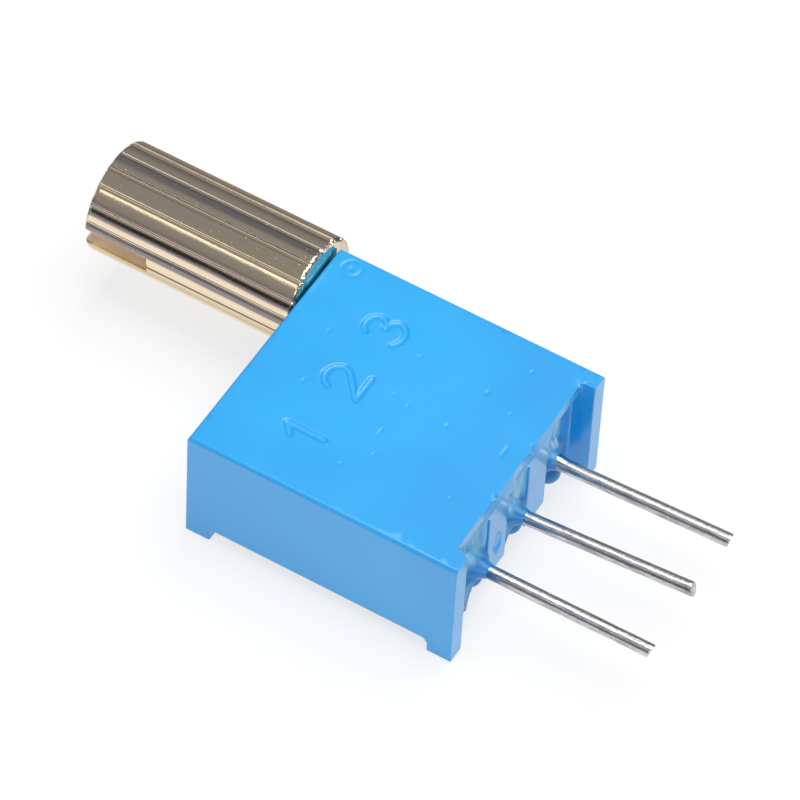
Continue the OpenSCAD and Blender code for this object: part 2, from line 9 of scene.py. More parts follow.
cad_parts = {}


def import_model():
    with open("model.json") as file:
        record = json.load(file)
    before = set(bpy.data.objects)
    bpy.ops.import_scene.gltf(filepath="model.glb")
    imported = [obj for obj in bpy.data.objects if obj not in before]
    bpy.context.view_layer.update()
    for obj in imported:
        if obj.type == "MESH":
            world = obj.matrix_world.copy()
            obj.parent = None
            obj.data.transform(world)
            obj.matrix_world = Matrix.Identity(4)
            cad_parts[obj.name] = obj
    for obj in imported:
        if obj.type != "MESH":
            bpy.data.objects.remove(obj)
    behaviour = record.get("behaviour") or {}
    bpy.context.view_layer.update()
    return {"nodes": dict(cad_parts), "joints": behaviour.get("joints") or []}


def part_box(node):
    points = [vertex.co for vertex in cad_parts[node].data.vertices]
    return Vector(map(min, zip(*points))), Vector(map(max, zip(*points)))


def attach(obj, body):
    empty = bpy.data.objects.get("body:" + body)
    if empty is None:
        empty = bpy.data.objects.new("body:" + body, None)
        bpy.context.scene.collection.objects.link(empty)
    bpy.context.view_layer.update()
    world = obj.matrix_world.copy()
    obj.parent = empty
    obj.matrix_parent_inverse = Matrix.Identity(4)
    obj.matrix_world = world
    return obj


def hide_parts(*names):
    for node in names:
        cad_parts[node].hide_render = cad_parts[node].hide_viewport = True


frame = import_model()

MM = 0.001
# Stands for far away: more millimetres than any distance that is compared with it
FAR = 9.0
NODES = frame["nodes"]


def box_mm(node):
    """The lowest and the highest corner of a CAD piece, in millimetres."""
    return [[round(v / MM, 3) for v in corner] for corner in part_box(node)]


# ---- sizes read from the frame, in millimetres ----
BACK_Z, FRONT_Z = (corner[2] for corner in box_mm("housing"))
POTTING_LOW, POTTING_HIGH = box_mm("potting")
KNOB_HIGH = box_mm("adjuster")[1]
SPIN = next(joint for joint in frame["joints"] if joint["name"] == "knob_spin")
KNOB_X, _, KNOB_Z = (round(v / MM, 3) for v in SPIN["pos_m"])
KNOB_Y1 = KNOB_HIGH[1]
KNOB_R = round(KNOB_HIGH[0] - KNOB_X, 3)

# ---- sizes inside the pieces' boxes, the CAD part's own, in millimetres and degrees ----
# case: its ribs, the front wall's lower edge and back, the end wall, half a terminal's slot
RIB_X = 1.27
RIB_Y = 0.42
LIP_Y = 0.5
LIP_BACK_Z = 1.975
END_WALL_Y = 0.82
SLOT_HALF = 0.65
# terminals: where each stands, how far its tip leans in x and z, radius, length
PIN_XS = (-2.54, 0.0, 2.54)
PIN_LEANS = ((0.04, 0.02), (0.27, 0.19), (0.15, 0.11))
PIN_R = 0.25
PIN_L = 6.1
# knob: inner end, grooves, driver slot
KNOB_Y0 = 10.18
FLUTES = 18
FLUTE_W = 0.2
FLUTE_DEPTH = 0.06
FLUTE_FIRST = 5.0
FLUTE_PITCH = 2 * math.pi / FLUTES
FLUTE_HALF = math.asin(FLUTE_W / 2 / KNOB_R)
DRIVER_W = 0.7
DRIVER_DEPTH = 2.48
DRIVER_TURN = 4.0


# ---- small helpers ----
def lin(r, g, b):
    """A colour written as 0..255 display values, as linear values."""
    out = []
    for v in (r, g, b):
        v /= 255.0
        out.append(v / 12.92 if v <= 0.04045 else ((v + 0.055) / 1.055) ** 2.4)
    return (*out, 1.0)


def smooth_step(lo, hi, x):
    """0 below lo, 1 above hi, and a smooth climb between."""
    t = np.clip((x - lo) / (hi - lo), 0.0, 1.0)
    return t * t * (3.0 - 2.0 * t)


def new_object(name, verts_mm, faces, material, angle=None):
    """A mesh from points in millimetres, shaded smooth, with edges over angle kept sharp."""
    mesh = bpy.data.meshes.new(name)
    mesh.from_pydata((np.asarray(verts_mm) * MM).tolist(), [], [list(map(int, f)) for f in faces])
    mesh.update()
    obj = bpy.data.objects.new(name, mesh)
    bpy.context.scene.collection.objects.link(obj)
    dress(obj, material, angle)
    return obj


def dress(obj, material, angle=None):
    """Gives obj one material and smooth shading, with edges over angle kept sharp."""
    mesh = obj.data
    mesh.materials.clear()
    mesh.materials.append(material)
    mesh.polygons.foreach_set("use_smooth", [True] * len(mesh.polygons))
    if angle is not None:
        mesh.set_sharp_from_angle(angle=math.radians(angle))
    mesh.update()


def baked(obj, name):
    """obj with its modifiers applied, as a new object."""
    bpy.context.view_layer.update()
    graph = bpy.context.evaluated_depsgraph_get()
    mesh = bpy.data.meshes.new_from_object(obj.evaluated_get(graph))
    out = bpy.data.objects.new(name, mesh)
    bpy.context.scene.collection.objects.link(out)
    return out


def copy_of(node, name):
    """A loose copy of a CAD node's mesh, welded."""
    obj = bpy.data.objects.new(name, NODES[node].data.copy())
    bpy.context.scene.collection.objects.link(obj)
    bm = bmesh.new()
    bm.from_mesh(obj.data)
    bmesh.ops.remove_doubles(bm, verts=bm.verts, dist=1e-7)
    bm.to_mesh(obj.data)
    bm.free()
    return obj


def coords(obj):
    """The mesh's points in millimetres, one row each."""
    co = np.empty(len(obj.data.vertices) * 3, np.float64)
    obj.data.vertices.foreach_get("co", co)
    return co.reshape(-1, 3) / MM


def set_coords(obj, co):
    """Moves the mesh's points to co, in millimetres."""
    obj.data.vertices.foreach_set("co", (co * MM).ravel())
    obj.data.update()


def tube_faces(rings, n):
    """Faces of a closed tube of rings with n points each, and its two flat ends."""
    faces = []
    for k in range(rings - 1):
        for i in range(n):
            j = (i + 1) % n
            faces.append((k * n + i, (k + 1) * n + i, (k + 1) * n + j, k * n + j))
    faces.append(tuple(range(n)))
    faces.append(tuple(rings * n - 1 - i for i in range(n)))
    return faces


def wave_noise(points, scale, seed, octaves=3):
    """Soft noise in about -1..1 from sums of turned sines."""
    rng = np.random.default_rng(seed)
    out = np.zeros(len(points))
    weight = 0.0
    for o in range(octaves):
        for _ in range(4):
            d = rng.normal(size=3)
            d /= np.linalg.norm(d)
            k = 2 * math.pi * (2.0**o) / scale * rng.uniform(0.7, 1.3)
            out += 0.5**o * np.sin(points @ d * k + rng.uniform(0, 2 * math.pi))
        weight += 0.5**o * 2.0
    return out / weight


# ---- materials ----
def material(name, base, rough, metallic=0.0, coat=0.0, ior=1.5):
    """A new material, its node tree and its shader."""
    mat = bpy.data.materials.new(name)
    mat.use_nodes = True
    shader = mat.node_tree.nodes["Principled BSDF"]
    shader.inputs["Base Color"].default_value = base
    shader.inputs["Roughness"].default_value = rough
    shader.inputs["Metallic"].default_value = metallic
    shader.inputs["IOR"].default_value = ior
    shader.inputs["Coat Weight"].default_value = coat
    return mat, mat.node_tree, shader


def position_mm(tree, stretch=(1.0, 1.0, 1.0)):
    """The place on the piece in millimetres; a stretch under 1 draws a pattern out that way."""
    nodes, links = tree.nodes, tree.links
    coord = nodes.new("ShaderNodeTexCoord")
    mapping = nodes.new("ShaderNodeMapping")
    mapping.inputs["Scale"].default_value = tuple(s / MM for s in stretch)
    links.new(coord.outputs["Object"], mapping.inputs["Vector"])
    return mapping.outputs["Vector"]


def noise(tree, vector, scale, detail=3.0, rough=0.55):
    """Noise in 0..1; scale is in waves per millimetre."""
    node = tree.nodes.new("ShaderNodeTexNoise")
    node.inputs["Scale"].default_value = scale
    node.inputs["Detail"].default_value = detail
    node.inputs["Roughness"].default_value = rough
    tree.links.new(vector, node.inputs["Vector"])
    return node.outputs["Fac"]


def ramp(tree, fac, stops):
    """A colour for each value of fac, from (value, colour) stops."""
    node = tree.nodes.new("ShaderNodeValToRGB")
    ends = node.color_ramp.elements
    ends.remove(ends[1])
    ends[0].position, ends[0].color = stops[0]
    for at, colour in stops[1:]:
        ends.new(at).color = colour
    tree.links.new(fac, node.inputs["Fac"])
    return node.outputs["Color"]


def span_map(tree, fac, low, high, out_low, out_high):
    """fac's span low..high laid over out_low..out_high, and held level beyond it."""
    node = tree.nodes.new("ShaderNodeMapRange")
    node.inputs["From Min"].default_value = low
    node.inputs["From Max"].default_value = high
    node.inputs["To Min"].default_value = out_low
    node.inputs["To Max"].default_value = out_high
    tree.links.new(fac, node.inputs["Value"])
    return node.outputs["Result"]


def mix(tree, fac, a, b):
    """Colour a where fac is 0 and colour b where it is 1."""
    node = tree.nodes.new("ShaderNodeMix")
    node.data_type = "RGBA"
    tree.links.new(fac, node.inputs["Factor"])
    for value, socket in ((a, node.inputs[6]), (b, node.inputs[7])):
        if isinstance(value, tuple):
            socket.default_value = value
        else:
            tree.links.new(value, socket)
    return node.outputs[2]


def bump(tree, shader, height, strength, distance_mm, under=None):
    """Fine relief from height, on top of the relief in under."""
    node = tree.nodes.new("ShaderNodeBump")
    node.inputs["Strength"].default_value = strength
    node.inputs["Distance"].default_value = distance_mm * MM
    tree.links.new(height, node.inputs["Height"])
    if under is not None:
        tree.links.new(under, node.inputs["Normal"])
    tree.links.new(node.outputs["Normal"], shader.inputs["Normal"])
    return node.outputs["Normal"]


def math_node(tree, operation, a, b=None):
    """One step of arithmetic on sockets or numbers."""
    node = tree.nodes.new("ShaderNodeMath")
    node.operation = operation
    for value, socket in ((a, node.inputs[0]), (b, node.inputs[1])):
        if value is None:
            continue
        if isinstance(value, (int, float)):
            socket.default_value = value
        else:
            tree.links.new(value, socket)
    return node.outputs["Value"]


def times(tree, a, b):
    return math_node(tree, "MULTIPLY", a, b)


def plus(tree, a, b):
    return math_node(tree, "ADD", a, b)


def minus(tree, a, b):
    return math_node(tree, "SUBTRACT", a, b)


def blue_plastic():
    """The housing's glossy moulded plastic."""
    mat, tree, shader = material("housing_blue", lin(30, 164, 243), 0.3, coat=0.55, ior=1.6)
    shader.inputs["Coat Roughness"].default_value = 0.16
    shader.inputs["Coat IOR"].default_value = 1.5
    pos = position_mm(tree)
    upright = position_mm(tree, (1.0, 1.0, 0.12))
    broad = noise(tree, pos, 0.16, 2.0)
    blotch = noise(tree, pos, 0.8, 0.0)
    streak = noise(tree, upright, 7.0, 3.0)
    fine = noise(tree, pos, 9.0, 4.0)
    share = span_map(tree, broad, 0.35, 0.65, 0.0, 1.0)
    tint = mix(tree, share, lin(8, 166, 242), lin(20, 177, 250))
    tree.links.new(tint, shader.inputs["Base Color"])
    tree.links.new(span_map(tree, blotch, 0.0, 1.0, 0.29, 0.38), shader.inputs["Roughness"])
    under = bump(tree, shader, streak, 0.1, 0.01)
    bump(tree, shader, fine, 0.04, 0.006, under)
    return mat


def resin_blue():
    """Cast resin: deep blue where it is thick, pale where it is a film."""
    mat, tree, shader = material("resin", lin(30, 120, 200), 0.32, coat=0.2, ior=1.45)
    shader.inputs["Coat Roughness"].default_value = 0.14
    pos = position_mm(tree)
    upright = position_mm(tree, (1.0, 1.0, 0.18))
    broad = noise(tree, pos, 1.3, 3.0)
    streak = noise(tree, upright, 4.5, 3.0)
    tint = mix(tree, broad, lin(6, 122, 200), lin(48, 152, 212))
    tint = mix(tree, span_map(tree, streak, 0.5, 0.75, 0.0, 0.3), tint, lin(96, 172, 214))
    # the film over the slots is thin and pale, the resin round the wires is deep
    split = tree.nodes.new("ShaderNodeSeparateXYZ")
    tree.links.new(pos, split.inputs["Vector"])
    thin = times(
        tree,
        span_map(tree, split.outputs["Y"], 0.3, 0.55, 0.0, 1.0),
        span_map(tree, split.outputs["Z"], 0.1, 0.4, 0.0, 1.0),
    )
    pale_share = span_map(tree, streak, 0.35, 0.65, 0.0, 1.0)
    pale = mix(tree, pale_share, lin(88, 184, 238), lin(166, 226, 252))
    tint = mix(tree, thin, tint, pale)
    tree.links.new(tint, shader.inputs["Base Color"])
    tree.links.new(span_map(tree, broad, 0.3, 0.7, 0.29, 0.4), shader.inputs["Roughness"])
    under = bump(tree, shader, streak, 0.3, 0.02)
    bump(tree, shader, noise(tree, pos, 5.0, 3.0), 0.25, 0.01, under)
    return mat


# How dark the knob is painted round its rim, a little tarnish but mostly painted reflections, dark
# bands where it would mirror dark surroundings and light ones where it would mirror lamps or floor:
# angle in degrees from +X towards +Z, share
TARNISH_AND_REFLECTION_BANDS = (
    (0, 0.35), (43, 0.4), (46, 1.0), (58, 1.0), (61, 0.15), (68, 0.15), (70, 0.42), (84, 0.42),
    (87, 0.74), (94, 0.68), (98, 0.36), (120, 0.33), (126, 0.05), (133, 0.2), (142, 0.45),
    (144.5, 0.1), (147.5, 0.1), (149, 0.95), (155, 0.85), (158, 0.05), (165, 0.08), (167, 0.9),
    (173, 0.8), (176, 0.04), (230, 0.1), (269, 0.35),
)


def knob_frame(tree):
    """Place along the knob and distance from its axis in millimetres, turn from +Z towards -X."""
    coord = tree.nodes.new("ShaderNodeTexCoord")
    mapping = tree.nodes.new("ShaderNodeMapping")
    mapping.inputs["Location"].default_value = (-KNOB_X, 0.0, -KNOB_Z)
    mapping.inputs["Scale"].default_value = (1 / MM, 1 / MM, 1 / MM)
    tree.links.new(coord.outputs["Object"], mapping.inputs["Vector"])
    split = tree.nodes.new("ShaderNodeSeparateXYZ")
    tree.links.new(mapping.outputs["Vector"], split.inputs["Vector"])
    x, y, z = (split.outputs[a] for a in "XYZ")
    across = times(tree, x, -1.0)
    turn = math_node(tree, "ARCTAN2", across, z)
    squares = [math_node(tree, "POWER", math_node(tree, "ABSOLUTE", side), 2.0) for side in (x, z)]
    reach = math_node(tree, "SQRT", plus(tree, *squares))
    return y, reach, turn


def groove_wall_shade(tree, reach, turn):
    """Painted shade on one wall of each groove, the one that faces away from +X."""
    first = math.radians(FLUTE_FIRST - 90)
    off = minus(tree, turn, first - FLUTE_PITCH / 2)
    off = math_node(tree, "FLOORED_MODULO", off, FLUTE_PITCH)
    off = minus(tree, off, FLUTE_PITCH / 2)
    wall = span_map(tree, off, -0.005, 0.012, 1.0, 0.0)
    # the painted groove shade is laid only on the side of the rim turned towards -X
    shaded_side = span_map(tree, turn, math.radians(45), math.radians(50), 0.0, 0.45)
    wall = times(tree, wall, shaded_side)
    deep = span_map(tree, reach, KNOB_R - 0.02, KNOB_R - 0.005, 1.0, 0.0)
    rim = math_node(tree, "GREATER_THAN", reach, KNOB_R - 0.2)
    return times(tree, times(tree, wall, deep), rim)


def tarnish_reflection_shade_share(tree, pos, bands, reach, turn):
    """How dark the knob is painted: a little random tarnish, bands round it that wander a little and
    are mostly painted dark and light reflections, and painted shade in its grooves.
    """
    drift = times(tree, minus(tree, noise(tree, pos, 0.35, 1.0), 0.5), 0.07)
    share = span_map(tree, plus(tree, turn, drift), -math.pi, math.pi, 0.0, 1.0)
    dark_share = ramp(tree, share, [((a + 90) / 360, (s, s, s, 1.0)) for a, s in TARNISH_AND_REFLECTION_BANDS])
    dark_share = plus(tree, dark_share, times(tree, minus(tree, bands, 0.5), 0.35))
    return plus(tree, dark_share, groove_wall_shade(tree, reach, turn))


def in_driver_slot(tree, y, reach):
    """1 on the walls and floor of the driver slot, 0 on the rest of the knob."""
    return times(
        tree,
        math_node(tree, "LESS_THAN", reach, KNOB_R - 0.1),
        times(
            tree,
            math_node(tree, "GREATER_THAN", y, KNOB_Y1 - DRIVER_DEPTH - 0.1),
            math_node(tree, "LESS_THAN", y, KNOB_Y1 - 0.005),
        ),
    )


# Brass from clean to black with tarnish and painted dark reflections, and as cut in the slot,
# painted brighter than it is lit: value, colour
BRASS_TINTS = (
    (0.0, (0.89, 0.76, 0.55, 1.0)),
    (0.2, (0.84, 0.7, 0.5, 1.0)),
    (0.4, (0.76, 0.64, 0.5, 1.0)),
    (0.7, (0.42, 0.37, 0.36, 1.0)),
    (1.0, (0.15, 0.125, 0.115, 1.0)),
)
# matt cut brass, painted brighter than it is as painted light in the shaded slot
CUT_AND_BRIGHTENED_TINTS = (
    (0.3, (0.93, 0.7, 0.46, 1.0)),
    (0.5, (0.98, 0.82, 0.6, 1.0)),
    (0.7, (1.0, 0.9, 0.72, 1.0)),
)
INNER_END_TINT = (0.86, 0.78, 0.66, 1.0)
SPECK_TINT = (0.9, 0.87, 0.78, 1.0)


def brass(name, tarnish_and_painted_light):
    """Turned brass; with the second argument set, the knob's tarnish, painted reflections in bands
    round it, painted shade in its grooves and a slot painted bright.
    """
    mat, tree, shader = material(name, lin(196, 176, 132), 0.2, metallic=1.0)
    shader.inputs["Specular Tint"].default_value = (0.72, 0.64, 0.52, 1.0)
    along = position_mm(tree, (1.0, 0.05, 1.0))
    pos = position_mm(tree)
    dark_share = bands = noise(tree, along, 1.6, 3.0)
    fine = noise(tree, along, 20.0, 3.0)
    pits = noise(tree, pos, 11.0, 3.0, 0.7)
    if tarnish_and_painted_light:
        y, reach, turn = knob_frame(tree)
        # on the knob: tarnish plus painted reflection bands and painted groove shade
        dark_share = tarnish_reflection_shade_share(tree, pos, bands, reach, turn)
    tint = ramp(tree, dark_share, BRASS_TINTS)
    rough = span_map(tree, fine, 0.3, 0.7, 0.07, 0.14)
    if tarnish_and_painted_light:
        # the slot is cut matt, and its colour is raised to stand in for light that hardly reaches
        # into it; the inner end is clean
        inside = in_driver_slot(tree, y, reach)
        tint = mix(tree, inside, tint, ramp(tree, noise(tree, pos, 2.4, 4.0, 0.65), CUT_AND_BRIGHTENED_TINTS))
        inner_end = math_node(tree, "LESS_THAN", y, KNOB_Y0 + 0.01)
        tint = mix(tree, inner_end, tint, INNER_END_TINT)
        rough = plus(tree, rough, times(tree, inside, 0.25))
        matt = times(tree, inside, 0.9)
        tree.links.new(minus(tree, 1.0, matt), shader.inputs["Metallic"])
    speck = span_map(tree, pits, 0.66, 0.74, 0.0, 0.9)
    tree.links.new(mix(tree, speck, tint, SPECK_TINT), shader.inputs["Base Color"])
    tree.links.new(plus(tree, rough, times(tree, speck, 0.4)), shader.inputs["Roughness"])
    under = bump(tree, shader, fine, 0.1, 0.008)
    bump(tree, shader, pits, 0.12, 0.01, under)
    return mat


def tin():
    """Tinned wire, drawn and a little dull in streaks."""
    mat, tree, shader = material("tinned_wire", lin(205, 206, 208), 0.16, metallic=1.0)
    along = position_mm(tree, (1.0, 0.16, 1.0))
    pos = position_mm(tree)
    streak = noise(tree, along, 9.0, 4.0, 0.65)
    tones = ((0.3, lin(140, 140, 142)), (0.5, lin(190, 190, 191)), (0.7, lin(222, 222, 221)))
    tint = ramp(tree, streak, tones)
    tree.links.new(tint, shader.inputs["Base Color"])
    tree.links.new(span_map(tree, streak, 0.3, 0.7, 0.32, 0.16), shader.inputs["Roughness"])
    under = bump(tree, shader, streak, 0.3, 0.012)
    bump(tree, shader, noise(tree, pos, 7.0, 3.0), 0.3, 0.02, under)
    return mat


def plain(name, base, rough, metallic=0.0, grain=6.0):
    """A finish for inner pieces: a little change of colour, gloss and surface."""
    mat, tree, shader = material(name, base, rough, metallic)
    pos = position_mm(tree)
    n = noise(tree, pos, grain, 3.0)
    dark = tuple(c * 0.82 for c in base[:3]) + (1.0,)
    tree.links.new(mix(tree, n, dark, base), shader.inputs["Base Color"])
    tree.links.new(span_map(tree, n, 0.3, 0.7, rough * 0.8, rough * 1.2), shader.inputs["Roughness"])
    bump(tree, shader, n, 0.2, 0.01)
    return mat


BLUE = blue_plastic()
RESIN = resin_blue()
BRASS = brass("brass", False)
KNOB_BRASS = brass("knob_brass", True)
TIN = tin()
# Finishes of the CAD pieces inside the case; solder and silver are each on several pieces
INNER = {
    "shaft_seal": plain("seal_rubber", lin(40, 40, 42), 0.6),
    "retaining_clip": plain("spring_steel", lin(170, 172, 176), 0.25, 1.0),
    "worm_wheel": plain("wheel_plastic", lin(236, 230, 212), 0.45),
    "wiper": plain("wiper_alloy", lin(222, 196, 128), 0.2, 1.0),
    "ceramic_plate": plain("alumina", lin(242, 242, 238), 0.55),
    "resistive_track": plain("cermet", lin(52, 52, 56), 0.5),
    "solder": plain("solder", lin(188, 190, 192), 0.25, 1.0),
    "silver": plain("silver_film", lin(205, 205, 203), 0.4, 1.0),
}


# ---- figures and marks moulded in the front face ----
def arc(cx, cy, rx, ry, a0, a1, steps=18):
    """Points on an ellipse round (cx, cy) from angle a0 to a1, in degrees."""
    return [
        (cx + rx * math.cos(math.radians(a)), cy + ry * math.sin(math.radians(a)))
        for a in np.linspace(a0, a1, steps)
    ]


def figure_strokes():
    """Strokes of the figures 1, 2 and 3 in a box 1 wide and 1 high, centred on the origin."""
    one = [[(-0.22, 0.26), (0.06, 0.5), (0.06, -0.5)]]
    two = [arc(0.0, 0.2, 0.34, 0.3, 165, -35) + [(-0.36, -0.5), (0.38, -0.5)]]
    three = [arc(-0.02, 0.25, 0.3, 0.25, 150, -80), arc(-0.02, -0.23, 0.35, 0.27, 80, -150)]
    return one, two, three


# The figures: height, middle, half the width of a stroke, how deep they are sunk
FIGURE_H = 1.4
FIGURE_Y = 7.05
FIGURE_STROKE = 0.13
FIGURE_DEEP = 0.055
# The ring that a core pin leaves, and the dot in its middle: place, radius, widths, depths
RING = (4.175, 9.32)
RING_R = 0.33
RING_W = 0.06
RING_DEEP = 0.014
DOT_W = 0.09
DOT_DEEP = 0.016
# How wide a speck or scratch is, and the share of its listed depth that it is sunk
MARK_W = 0.05
MARK_SHARE = 0.3
# Specks and short scratches on the front face: x, y, length, depth
MARKS = (
    (-0.7, 8.2, 0.1, 0.04),
    (1.5, 8.6, 0.1, 0.03),
    (0.4, 5.4, 0.05, 0.03),
    (2.2, 5.5, 0.05, 0.035),
    (0.2, 4.8, 0.1, 0.03),
    (-1.2, 5.0, 0.3, 0.03),
    (-3.0, 5.4, 0.05, 0.03),
    (-2.1, 4.7, 0.05, 0.035),
    (3.6, 2.1, 0.05, 0.04),
    (2.1, 2.9, 0.1, 0.045),
    (0.2, 3.3, 0.1, 0.045),
    (1.7, 1.8, 0.05, 0.03),
    (-2.3, 1.7, 0.05, 0.03),
    (0.3, 1.2, 0.4, 0.04),
)

# The scar of the mould's gate on the rib beside terminal 1: middle, half sizes
SCAR = (-1.25, -0.2)
SCAR_HALF = (0.3, 0.62)
# Rough flash where the ribs meet the front wall's edge: x, y, z
FLASH = ((0.94, 0.46, 2.33), (-1.5, 0.46, 2.33), (3.95, 0.5, 2.38), (4.07, 0.42, 2.3))


def stroke_distance(points, strokes):
    """How far each point is from the nearest stroke."""
    best = np.full(len(points), FAR)
    for line in strokes:
        for (ax, ay), (bx, by) in zip(line, line[1:]):
            d = np.array([bx - ax, by - ay])
            rel = points - np.array([ax, ay])
            t = np.clip(rel @ d / (d @ d), 0.0, 1.0)
            best = np.minimum(best, np.hypot(*(rel - t[:, None] * d).T))
    return best


def face_marks(points):
    """How deep the front face is sunk, below 0, at points (x, y)."""
    out = np.zeros(len(points))
    for x0, strokes in zip(PIN_XS, figure_strokes()):
        near = (np.abs(points[:, 0] - x0) < 1.0) & (np.abs(points[:, 1] - FIGURE_Y) < 1.0)
        local = (points[near] - np.array([x0, FIGURE_Y])) / FIGURE_H
        d = stroke_distance(local, strokes) * FIGURE_H
        wall = smooth_step(0.35 * FIGURE_STROKE, FIGURE_STROKE + 0.02, d)
        out[near] -= FIGURE_DEEP * (1.0 - wall)
    d = np.hypot(points[:, 0] - RING[0], points[:, 1] - RING[1])
    ring = RING_DEEP * np.exp(-(((d - RING_R) / RING_W) ** 2))
    out -= ring + DOT_DEEP * np.exp(-((d / DOT_W) ** 2))
    for x, y, length, deep in MARKS:
        u = np.maximum(np.abs(points[:, 0] - x) - length / 2, 0.0)
        v = points[:, 1] - y
        out -= MARK_SHARE * deep * np.exp(-((np.hypot(u, v) / MARK_W) ** 2))
    return out


# ---- the housing ----
def rib_tops(mesh):
    """Where each rib runs out into the front wall's edge: a low slope, added as a closed piece."""
    # z, half the width and y of each step of the slope
    levels = (
        (1.7, 0.62, RIB_Y),
        (1.95, 0.86, RIB_Y + 0.005),
        (FRONT_Z - 0.03, 1.05, LIP_Y - 0.005),
    )
    inside = LIP_Y + 0.12
    bm = bmesh.new()
    bm.from_mesh(mesh)
    for x in (-RIB_X, RIB_X):
        rings = []
        for z, half, y in levels:
            corners = ((x - half, y), (x + half, y), (x + half, inside), (x - half, inside))
            rings.append([bm.verts.new((cx * MM, cy * MM, z * MM)) for cx, cy in corners])
        bm.faces.new(rings[0][::-1])
        bm.faces.new(rings[-1])
        for low, high in zip(rings, rings[1:]):
            for k in range(4):
                j = (k + 1) % 4
                bm.faces.new((low[k], low[j], high[j], high[k]))
    bm.to_mesh(mesh)
    bm.free()


def housing():
    """The moulded case: the CAD piece with soft edges, sunk figures, small marks and flash."""
    obj = copy_of("housing", "housing_work")
    rib_tops(obj.data)
    mod = obj.modifiers.new("even", "REMESH")
    mod.mode = "VOXEL"
    mod.voxel_size = 0.036 * MM
    mod = obj.modifiers.new("soft", "SMOOTH")
    mod.factor = 0.5
    mod.iterations = 2
    fine = baked(obj, "housing_fine")
    bpy.data.objects.remove(obj)
    co = coords(fine)
    face = co[:, 2] > FRONT_Z - 0.012
    co[face, 2] = FRONT_Z + face_marks(co[face, :2])
    # the gate's scar, sunk and rough
    front = (np.abs(co[:, 1] - RIB_Y) < 0.03) & (co[:, 2] < 1.0)
    off = np.hypot((co[:, 0] - SCAR[0]) / SCAR_HALF[0], (co[:, 2] - SCAR[1]) / SCAR_HALF[1])
    sunk = (1.0 - smooth_step(0.7, 1.0, off)) * (0.06 + 0.03 * wave_noise(co, 0.28, 4))
    co[:, 1] += sunk * front
    # rough flash
    for at in FLASH:
        d = np.linalg.norm(co - np.array(at), axis=1)
        rough = 0.07 * (np.exp(-((d / 0.14) ** 2)) * wave_noise(co, 0.16, 6))
        co[:, 1] += rough
        co[:, 2] = np.minimum(co[:, 2] + rough, FRONT_Z)
    set_coords(fine, co)
    mod = fine.modifiers.new("fewer", "DECIMATE")
    mod.ratio = 0.22
    shell = baked(fine, "housing_shell")
    bpy.data.objects.remove(fine)
    dress(shell, BLUE, 50)
    mod = shell.modifiers.new("normals", "WEIGHTED_NORMAL")
    mod.mode = "FACE_AREA"
    mod.weight = 98
    mod.keep_sharp = True
    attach(shell, "body")
    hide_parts("housing")


# ---- the knob ----
def groove_off(angle):
    """An angle in radians, measured from the middle of the nearest groove."""
    return (angle - math.radians(FLUTE_FIRST) + FLUTE_PITCH / 2) % FLUTE_PITCH - FLUTE_PITCH / 2


def flute_radius(angle):
    """The knob's radius at an angle in radians from +X towards +Z."""
    flat = KNOB_R - math.sqrt(KNOB_R**2 - FLUTE_W**2 / 4)
    sagitta = FLUTE_DEPTH - flat
    hollow = (FLUTE_W**2 / 4 + sagitta**2) / (2 * sagitta)
    centre = KNOB_R - FLUTE_DEPTH + hollow
    off = groove_off(angle)
    inside = hollow**2 - (centre * np.sin(off)) ** 2
    r = centre * np.cos(off) - np.sqrt(np.maximum(inside, 0.0))
    return np.where(inside > 0, np.minimum(r, KNOB_R), KNOB_R)


def knob_angles():
    """Angles round the knob, close together in the grooves."""
    groove = np.linspace(-FLUTE_HALF, FLUTE_HALF, 9)
    land = np.linspace(FLUTE_HALF, FLUTE_PITCH - FLUTE_HALF, 14)[1:-1]
    one = np.concatenate([groove, land])
    turns = [one + i * FLUTE_PITCH for i in range(FLUTES)]
    return np.concatenate(turns) + math.radians(FLUTE_FIRST)


def knob_skin():
    """Points and faces of the knob before its driver slot is cut, with a ragged inner rim."""
    angles = knob_angles()
    radii = flute_radius(angles)
    n = len(angles)
    rng = np.random.default_rng(11)
    ys = np.linspace(KNOB_Y0 + 0.12, KNOB_Y1 - 0.15, 130)
    # place along the knob, how far the rim is turned down, how ragged it is
    rings = [
        (KNOB_Y0, 0.13, 0.02),
        (KNOB_Y0 + 0.02, 0.07, 0.035),
        (KNOB_Y0 + 0.055, 0.02, 0.04),
        (KNOB_Y0 + 0.085, 0.0, 0.03),
        *((y, 0.0, 0.0) for y in ys),
        (KNOB_Y1 - 0.09, 0.018, 0.003),
        (KNOB_Y1 - 0.04, 0.06, 0.004),
        (KNOB_Y1 - 0.01, 0.12, 0.004),
        (KNOB_Y1, 0.17, 0.004),
    ]
    points = []
    for k, (y, down, ragged) in enumerate(rings):
        r = np.minimum(radii, KNOB_R - down) - ragged * rng.random(n)
        side = ragged * rng.uniform(-0.4, 0.4, n) if 0 < k < 4 else np.zeros(n)
        x = KNOB_X + r * np.cos(angles)
        z = KNOB_Z + r * np.sin(angles)
        points.append(np.stack([x, y + side, z], 1))
    co = np.concatenate(points)
    # slow waves and small nicks, never outwards
    away = co - np.array([KNOB_X, 0.0, KNOB_Z])
    away[:, 1] = 0.0
    away /= np.linalg.norm(away, axis=1)[:, None]
    middle = (co[:, 1] > KNOB_Y0 + 0.1) & (co[:, 1] < KNOB_Y1 - 0.1)
    edge = np.abs(np.abs(np.tile(groove_off(angles), len(rings))) - FLUTE_HALF) < 0.01
    move = 0.0015 * (wave_noise(co * np.array([1.0, 0.2, 1.0]), 0.9, 5) - 1.0)
    move -= 0.003 * edge * rng.random(len(co)) * (rng.random(len(co)) < 0.3)
    co += away * (move * middle)[:, None]
    return co, tube_faces(len(rings), n)


